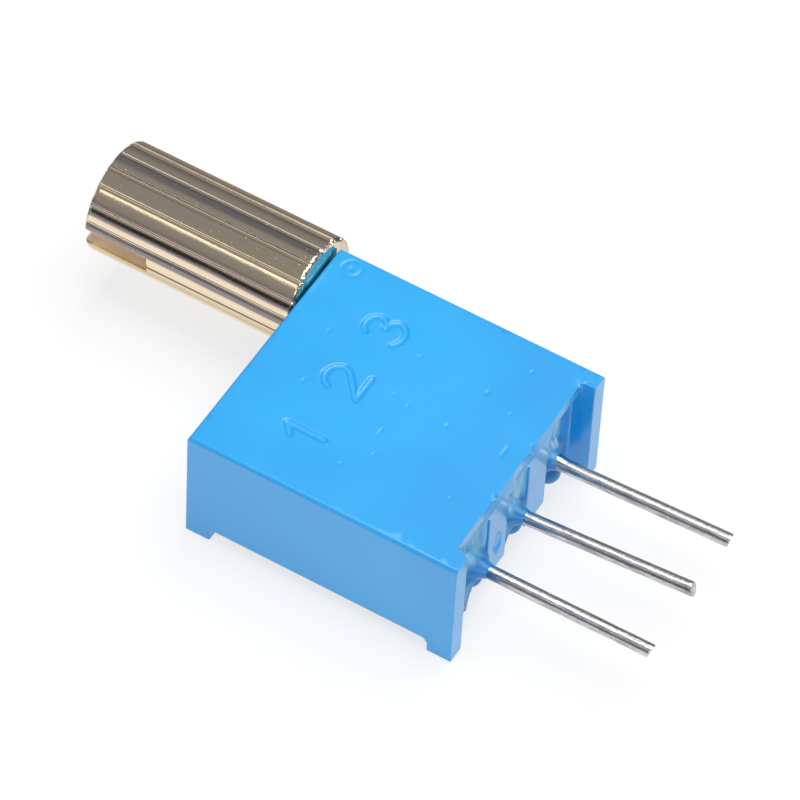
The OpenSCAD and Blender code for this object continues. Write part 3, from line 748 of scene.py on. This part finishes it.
def driver_cutter():
    """The block that cuts the driver slot across the knob's outer end."""
    corners = [
        (x, y, z)
        for x in (-KNOB_R - 1, KNOB_R + 1)
        for y in (KNOB_Y1 - DRIVER_DEPTH, KNOB_Y1 + 1)
        for z in (-DRIVER_W / 2, DRIVER_W / 2)
    ]
    sides = [(0, 1, 3, 2), (4, 6, 7, 5), (0, 4, 5, 1), (2, 3, 7, 6), (0, 2, 6, 4), (1, 5, 7, 3)]
    cutter = new_object("knob_cutter", corners, sides, KNOB_BRASS)
    turn = Matrix.Rotation(math.radians(-DRIVER_TURN), 4, "Y")
    cutter.matrix_world = Matrix.Translation(Vector((KNOB_X, 0, KNOB_Z)) * MM) @ turn
    return cutter


def knob():
    """The grooved brass knob with its driver slot."""
    obj = new_object("knob_work", *knob_skin(), KNOB_BRASS)
    cutter = driver_cutter()
    mod = obj.modifiers.new("slot", "BOOLEAN")
    mod.operation = "DIFFERENCE"
    mod.object = cutter
    mod.solver = "EXACT"
    knob_obj = baked(obj, "knob")
    bpy.data.objects.remove(obj)
    bpy.data.objects.remove(cutter)
    dress(knob_obj, KNOB_BRASS, 24)
    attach(knob_obj, "adjuster")
    return knob_obj


def cut_node(node, name, plane_mm, normal, mat, body, angle=30):
    """The part of a CAD node on one side of a plane, closed."""
    obj = copy_of(node, name)
    bm = bmesh.new()
    bm.from_mesh(obj.data)
    geom = bm.verts[:] + bm.edges[:] + bm.faces[:]
    place = Vector(plane_mm) * MM
    cut = bmesh.ops.bisect_plane(
        bm, geom=geom, dist=1e-8, plane_co=place, plane_no=normal, clear_outer=True
    )
    edges = [e for e in cut["geom_cut"] if isinstance(e, bmesh.types.BMEdge)]
    bmesh.ops.holes_fill(bm, edges=edges, sides=0)
    bm.to_mesh(obj.data)
    bm.free()
    dress(obj, mat, angle)
    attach(obj, body)
    return obj


def shaft():
    """The rest of the adjuster, whose cut end reaches a little into the knob."""
    cut_y = KNOB_Y0 - 0.005
    obj = cut_node("adjuster", "shaft", (0, cut_y, 0), (0, 1, 0), BRASS, "adjuster")
    co = coords(obj)
    co[co[:, 1] > cut_y - 0.001, 1] += 0.05
    set_coords(obj, co)
    return obj


# ---- the terminals ----
def terminal(index):
    """One terminal: its bare wire drawn anew, its head inside the case as the CAD has it."""
    lean = PIN_LEANS[index]
    rng = np.random.default_rng(21 + index)
    root = np.array([PIN_XS[index], 0, 0])
    axis = np.array([lean[0], -PIN_L, lean[1]])
    length = np.linalg.norm(axis)
    axis /= length
    side = np.cross(axis, [0.0, 0.0, 1.0])
    side /= np.linalg.norm(side)
    up = np.cross(side, axis)
    n = 40
    angles = np.linspace(0, 2 * math.pi, n, endpoint=False)
    shank = np.linspace(-0.12, length - 0.12, 60)
    stations = np.concatenate([shank, [length - 0.06, length - 0.015]])
    tilt = rng.uniform(0, 2 * math.pi)
    # the last two rings round the end off
    shares = [1.0] * len(shank) + [0.985, 0.93]
    verts = []
    for s, share in zip(stations, shares):
        radii = PIN_R * (1.0 - 0.004 * rng.random(n)) * share
        # the sheared end is a little slanted
        late = smooth_step(length - 0.2, length, s)
        along = s - 0.07 * late * (1.0 + np.cos(angles - tilt))
        for a, r, t in zip(angles, radii, along):
            verts.append(root + axis * t + (side * math.cos(a) + up * math.sin(a)) * r)
    name = f"terminal_{index + 1}"
    wire = new_object(name + "_wire", verts, tube_faces(len(stations), n), TIN, 40)
    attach(wire, "body")
    head = cut_node(name, name + "_head", (0, -0.02, 0), (0, -1, 0), TIN, "body")
    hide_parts(name)
    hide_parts(name)


# ---- the cast resin ----
def surface_net(field, origin, step):
    """A mesh of the surface where field is 0; it is above 0 inside."""
    inside = field > 0
    shape = np.array(field.shape) - 1
    total = np.zeros((*shape, 3))
    count = np.zeros(shape, int)
    for axis in range(3):
        others = [a for a in range(3) if a != axis]
        for du in (0, 1):
            for dv in (0, 1):
                lo = [slice(0, s) for s in shape]
                lo[others[0]] = slice(du, du + shape[others[0]])
                lo[others[1]] = slice(dv, dv + shape[others[1]])
                hi = list(lo)
                hi[axis] = slice(1, 1 + shape[axis])
                a, b = field[tuple(lo)], field[tuple(hi)]
                cross = (a > 0) != (b > 0)
                t = np.where(cross, a / np.where(a == b, 1.0, a - b), 0.0)
                at = np.zeros((*shape, 3))
                at[..., axis] = t
                at[..., others[0]] = du
                at[..., others[1]] = dv
                total += at * cross[..., None]
                count += cross
    active = count > 0
    index = np.full(shape, -1)
    index[active] = np.arange(active.sum())
    cells = np.argwhere(active)
    verts = origin + step * (cells + total[active] / count[active][:, None])
    faces = []
    for axis in range(3):
        u, v = (axis + 1) % 3, (axis + 2) % 3
        lo = [slice(1, s) for s in shape]
        lo[axis] = slice(0, shape[axis])
        hi = list(lo)
        hi[axis] = slice(1, shape[axis] + 1)
        a, b = inside[tuple(lo)], inside[tuple(hi)]
        flips = np.argwhere(a != b)
        offset = np.ones(3, int)
        offset[axis] = 0
        base = flips + offset
        quad = []
        for du, dv in ((1, 1), (0, 1), (0, 0), (1, 0)):
            cell = base.copy()
            cell[:, u] -= du
            cell[:, v] -= dv
            quad.append(index[cell[:, 0], cell[:, 1], cell[:, 2]])
        quad = np.stack(quad, 1)
        out = a[tuple(flips.T)]
        quad = np.where(out[:, None], quad, quad[:, ::-1])
        faces.append(quad[(quad >= 0).all(1)])
    return verts, np.concatenate(faces)


def smooth_max(a, b, k):
    """The larger of a and b, blended over a distance of about k."""
    h = np.clip(0.5 + 0.5 * (a - b) / k, 0.0, 1.0)
    return b * (1 - h) + a * h + k * h * (1 - h)


def smooth_min(a, b, k):
    """The smaller of a and b, blended over a distance of about k."""
    return -smooth_max(-a, -b, k)


def ball(point, middle, half):
    """0 at an ellipsoid's middle and 1 on its skin."""
    return np.sqrt(sum(((p - m) / h) ** 2 for p, m, h in zip(point, middle, half)))


# For each terminal: where its film of resin ends on the wire, how low its lobe hangs, and how
# far the web's arch drops beside the ribs
CONE_TIPS = (-0.05, 0.04, 0.22)
LOBE_DROPS = (0.06, 0.03, 0.1)
ARCH_DROPS = (1.0, 0.83, 0.4)
# How far the resin spreads from the outer wires over the end wall
SPREAD = 0.93
# Where the resin in the slots ends: inside the case and at the back
SLOT_INNER_Y = 1.3
SLOT_BACK_Z = -1.54
# The hidden face of the resin seen from the back
RESIN_HIDDEN_Z = -0.32


def slot_field(x, y, z, i):
    """Above 0 inside the resin of one terminal's slot."""
    lean = PIN_LEANS[i]
    px = PIN_XS[i] - y / PIN_L * lean[0]
    pz = -y / PIN_L * lean[1]
    u = x - PIN_XS[i]
    # the outer slots have no rib on their outer side for the resin to climb
    open_side = u * PIN_XS[i] > 0
    climb = np.where(open_side, 0.02 * np.abs(u), 0.3 * np.abs(u / SLOT_HALF) ** 2.2)
    # the sheet between the ribs: hollow above the wire, coming forward as a web below it
    thinning = np.where(open_side, 0.05 * smooth_step(0.6, SPREAD, np.abs(u)), 0.0)
    sheet_y = END_WALL_Y - 0.03 - climb + thinning
    web_y = CONE_TIPS[i] + 0.42 * (1 - np.exp(-np.abs(u) / 0.28))
    back_off = smooth_step(-0.25, 0.25, z)
    sheet = y - (web_y + (sheet_y - web_y) * back_off)
    arch = z + 0.27 + ARCH_DROPS[i] * np.abs(u / SLOT_HALF) ** 3.5
    body = smooth_min(sheet, arch, 0.08)
    # the film that climbs the wire
    rho = np.hypot(x - px, z - pz)
    steep = 0.3 - 0.12 * smooth_step(-0.05, 0.35, z - pz)
    film = y - (CONE_TIPS[i] + 0.8 * (1 - np.exp(-np.maximum(rho - PIN_R, 0.0) / steep)))
    body = smooth_max(body, np.minimum(film, 0.62 - rho), 0.08)
    # the lobe below the wire
    lobe = 1.0 - ball((u, y, z), (0.1, 0.8, -0.76 - LOBE_DROPS[i]), (0.45, 0.5, 0.42))
    body = smooth_max(body, lobe * 0.42, 0.035)
    # what fills the slot behind
    body = smooth_max(body, np.minimum(y - 1.0, z - SLOT_BACK_Z), 0.1)
    if i == 2:
        # a pocket left beside the wire
        pocket = ball((u, y, z), (-0.36, 0.55, 0.42), (0.17, 0.3, 0.3)) - 1.0
        body = smooth_min(body, pocket * 0.2, 0.04)
    # what covers the clip head at the wire's root
    cover = np.minimum(0.47 - np.abs(u), 0.6 - np.abs(z))
    cover = np.minimum(cover, y - 0.6 - 0.3 * np.maximum(np.abs(z) - PIN_R, 0.0))
    body = smooth_max(body, cover, 0.05)
    # kept inside the slot's walls, and just into the wire's skin
    wall = SLOT_HALF + 0.015
    body = np.minimum(body, np.where(open_side, SPREAD, wall) - np.abs(u))
    body = np.minimum(body, np.where(np.abs(u) > wall, END_WALL_Y + 0.03 - y, FAR))
    body = np.minimum(body, SLOT_INNER_Y - y)
    body = np.minimum(body, rho - PIN_R + 0.03)
    body = np.minimum(body, z - SLOT_BACK_Z)
    return np.minimum(body, LIP_BACK_Z + 0.005 - z)


def slot_resin():
    """The resin seen between the ribs, round the roots of the three terminals."""
    step = 0.032
    # corners of the space that it is worked out in
    low = np.array([-3.56, -0.2, -1.6])
    high = np.array([3.56, 1.42, 2.02])
    axes = [np.arange(lo, hi, step) for lo, hi in zip(low, high)]
    x, y, z = np.meshgrid(*axes, indexing="ij")
    field = np.full(x.shape, -FAR)
    for i, pin_x in enumerate(PIN_XS):
        near = np.abs(axes[0] - pin_x) < 1.0
        field[near] = np.maximum(field[near], slot_field(x[near], y[near], z[near], i))
    verts, faces = surface_net(field, low, step)
    obj = new_object("potting_slots", verts, faces, RESIN)
    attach(obj, "body")
    return obj


def back_resin():
    """The resin seen from the back, dished between the walls that it wets."""
    n = 60
    left, _, back = POTTING_LOW
    right, top_y, _ = POTTING_HIGH
    xs = np.linspace(left, right, n)
    ys = np.linspace(SLOT_INNER_Y, top_y, n)
    gx, gy = np.meshgrid(xs, ys, indexing="ij")
    edge = np.minimum.reduce([gx - left, right - gx, gy - SLOT_INNER_Y, top_y - gy])
    pts = np.stack([gx.ravel(), gy.ravel(), np.zeros(gx.size)], 1)
    dish = 0.07 * (1 - np.exp(-edge / 0.35))
    z = back + dish + 0.012 * wave_noise(pts, 5.0, 9).reshape(gx.shape)
    verts = [(*p[:2], zz) for p, zz in zip(pts, z.ravel())]
    faces = [
        (i * n + j, i * n + j + 1, (i + 1) * n + j + 1, (i + 1) * n + j)
        for i in range(n - 1)
        for j in range(n - 1)
    ]
    # sides and a flat hidden face close it
    base = len(verts)
    border = (
        [i * n for i in range(n)]
        + [(n - 1) * n + j for j in range(1, n)]
        + [i * n + n - 1 for i in range(n - 2, -1, -1)]
        + [j for j in range(n - 2, 0, -1)]
    )
    for b in border:
        verts.append((verts[b][0], verts[b][1], RESIN_HIDDEN_Z))
    m = len(border)
    for k in range(m):
        j = (k + 1) % m
        faces.append((border[k], border[j], base + j, base + k))
    faces.append(tuple(base + k for k in range(m)))
    obj = new_object("potting_back", verts, faces, RESIN, 50)
    bm = bmesh.new()
    bm.from_mesh(obj.data)
    bmesh.ops.recalc_face_normals(bm, faces=bm.faces)
    bm.to_mesh(obj.data)
    bm.free()
    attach(obj, "body")
    return obj


def inner_pieces():
    """Gives the CAD pieces inside the case their own materials."""
    for node, obj in NODES.items():
        if node in INNER:
            dress(obj, INNER[node], 30)
        elif node.startswith("solder"):
            dress(obj, INNER["solder"], 30)
        elif node.startswith(("end_conductor", "collector", "back_pads")):
            dress(obj, INNER["silver"], 30)


# ---- floor, light and camera ----
# The floor: its colour, its colour and glow where it is seen, and half its side in metres
FLOOR_WHITE = (0.94, 0.94, 0.94, 1.0)
FLOOR_SEEN = (0.3, 0.3, 0.3, 1.0)
FLOOR_GLOW = 0.72
FLOOR_HALF = 1.5
# The sky's tone: height, colour
SKY = (
    (0.0, (0.1, 0.1, 0.11, 1.0)),
    (0.25, (0.2, 0.2, 0.21, 1.0)),
    (0.45, (0.3, 0.305, 0.32, 1.0)),
    (1.0, (0.3, 0.305, 0.32, 1.0)),
)
# Lamps, in metres: name, place, target, width, height, what a mirror would show of it
LAMPS = (
    ("key", (0.075, -0.045, 0.3), (0.075, -0.0451, 0.0), 0.31, 0.23, 3.3),
    ("fill", (-0.36, -0.16, 0.2), (0.0, 0.006, 0.0), 0.2, 0.2, 2.2),
    ("strip", (-0.218, 0.117, 0.252), (0.0035, 0.014, 0.0), 0.22, 0.05, 1.0),
    ("terminal_strip", (-0.004, 0.013, 0.05), (-0.004, -0.003, 0.0), 0.03, 0.009, 2.6),
)
# The camera: what it looks at and from how far, in millimetres, its angles in degrees, its lens
AIM = (1.973, 6.043, 0.0)
DISTANCE = 203.92
AZIMUTH = -151.8
ELEVATION = 51.41
ROLL = 3.5
LENS = 278.48


def floor():
    """A plain pale floor just under the part's back face."""
    mat, tree, shader = material("floor_white", FLOOR_WHITE, 0.9)
    shader.inputs["Specular IOR Level"].default_value = 0.0
    # seen directly or in a reflection, the floor glows a little, and its shadows are faint
    path = tree.nodes.new("ShaderNodeLightPath")
    seen = path.outputs["Is Camera Ray"]
    for ray in ("Is Glossy Ray", "Is Transmission Ray"):
        seen = math_node(tree, "MAXIMUM", seen, path.outputs[ray])
    tree.links.new(mix(tree, seen, FLOOR_WHITE, FLOOR_SEEN), shader.inputs["Base Color"])
    shader.inputs["Emission Color"].default_value = (1.0, 1.0, 1.0, 1.0)
    tree.links.new(times(tree, seen, FLOOR_GLOW), shader.inputs["Emission Strength"])
    s = FLOOR_HALF
    mesh = bpy.data.meshes.new("floor")
    z = (BACK_Z - 0.002) * MM
    mesh.from_pydata([(-s, -s, z), (s, -s, z), (s, s, z), (-s, s, z)], [], [(0, 1, 2, 3)])
    obj = bpy.data.objects.new("floor", mesh)
    bpy.context.scene.collection.objects.link(obj)
    mesh.materials.append(mat)


def softbox(name, place, target, width, height, radiance):
    """A rectangular lamp at place, turned to target; radiance is what a mirror would show."""
    light = bpy.data.lights.new(name, "AREA")
    light.shape = "RECTANGLE"
    light.size = width
    light.size_y = height
    light.energy = radiance * math.pi * width * height
    obj = bpy.data.objects.new(name, light)
    bpy.context.scene.collection.objects.link(obj)
    obj.location = Vector(place)
    obj.rotation_euler = (Vector(target) - obj.location).to_track_quat("-Z", "Y").to_euler()


def world():
    """A grey sky, even overhead and darker towards the horizon and below it."""
    w = bpy.data.worlds.new("studio")
    bpy.context.scene.world = w
    w.use_nodes = True
    tree = w.node_tree
    back = tree.nodes["Background"]
    coord = tree.nodes.new("ShaderNodeTexCoord")
    split = tree.nodes.new("ShaderNodeSeparateXYZ")
    tree.links.new(coord.outputs["Generated"], split.inputs["Vector"])
    tree.links.new(ramp(tree, split.outputs["Z"], SKY), back.inputs["Color"])
    back.inputs["Strength"].default_value = 1.0


def camera():
    """A long lens turned round AIM: azimuth from +X towards +Y, elevation up from the floor."""
    cam = bpy.data.cameras.new("camera")
    cam.sensor_width = 36.0
    cam.lens = LENS
    cam.clip_start = 0.01
    obj = bpy.data.objects.new("camera", cam)
    bpy.context.scene.collection.objects.link(obj)
    turn = Matrix.Rotation(math.radians(AZIMUTH + 90), 4, "Z")
    turn = turn @ Matrix.Rotation(math.radians(90 - ELEVATION), 4, "X")
    turn = turn @ Matrix.Rotation(math.radians(ROLL), 4, "Z")
    away = turn.to_3x3() @ Vector((0, 0, DISTANCE))
    obj.matrix_world = Matrix.Translation((Vector(AIM) + away) * MM) @ turn
    bpy.context.scene.camera = obj


# ---- the scene ----
housing()
knob_piece = knob()
shaft_piece = shaft()
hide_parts("adjuster")
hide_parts("adjuster")
for pin in range(len(PIN_XS)):
    terminal(pin)
slots_piece = slot_resin()
back_piece = back_resin()
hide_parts("potting")
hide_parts("potting")
inner_pieces()

floor()
world()
for lamp in LAMPS:
    softbox(*lamp)
camera()
bpy.context.scene.view_settings.view_transform = "Standard"
